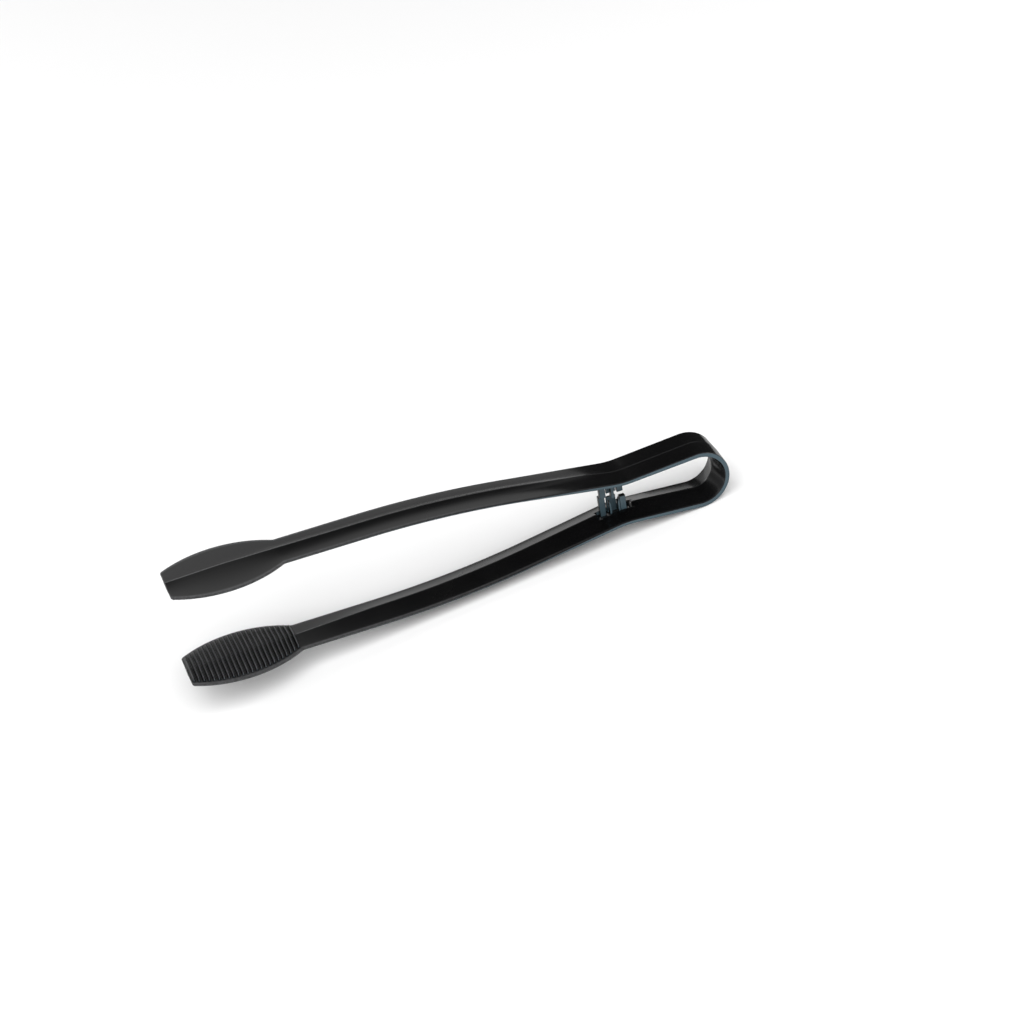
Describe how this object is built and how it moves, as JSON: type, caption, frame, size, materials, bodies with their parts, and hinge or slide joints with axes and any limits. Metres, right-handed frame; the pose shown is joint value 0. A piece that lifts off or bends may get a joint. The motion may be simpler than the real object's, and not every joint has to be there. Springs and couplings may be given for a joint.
{
  "type": "spring tongs",
  "caption": "One-hand kitchen tongs: spring bow, two handles, interlocking guide, bowed arms and leaf-shaped ribbed jaws.",
  "frame": {"origin": "middle of the overall box, where the width's mid-plane and the plane between the two halves cross", "axes": "+X from the jaws towards the spring bow, +Z the opening direction towards the upper half, Y across the width"},
  "size_m": [0.229, 0.0328, 0.0462],
  "materials": {
    "moulding": "semi-gloss black moulded plastic"
  },
  "bodies": {
    "bow": {"spring_bow": "moulding"},
    "upper_half": {"upper_bow_leg": "moulding", "upper_handle": "moulding", "upper_neck": "moulding", "upper_arm": "moulding", "upper_jaw": "moulding", "upper_grip_ribs": "moulding", "guide_finger": "moulding", "upper_guide_web": "moulding", "upper_front_tab": "moulding", "upper_rear_tab": "moulding"},
    "lower_half": {"lower_bow_leg": "moulding", "lower_handle": "moulding", "lower_neck": "moulding", "lower_arm": "moulding", "lower_jaw": "moulding", "lower_grip_ribs": "moulding", "slotted_guide": "moulding", "lower_guide_web": "moulding", "lower_front_tab": "moulding", "lower_rear_tab": "moulding"}
  },
  "joints": [
    {"name": "upper_flex", "type": "hinge", "parent": "bow", "child": "upper_half", "pos_m": [0.10911, 0, 0.00746], "axis": [0, -1, 0], "range_deg": [-2, 4.5], "stiffness_Nm_per_rad": 5},
    {"name": "lower_flex", "type": "hinge", "parent": "bow", "child": "lower_half", "pos_m": [0.10911, 0, -0.00746], "axis": [0, 1, 0], "range_deg": [-2, 4.5], "stiffness_Nm_per_rad": 5}
  ],
  "couplings": [
    {"joint": "lower_flex", "follows": "upper_flex", "ratio": 1}
  ]
}
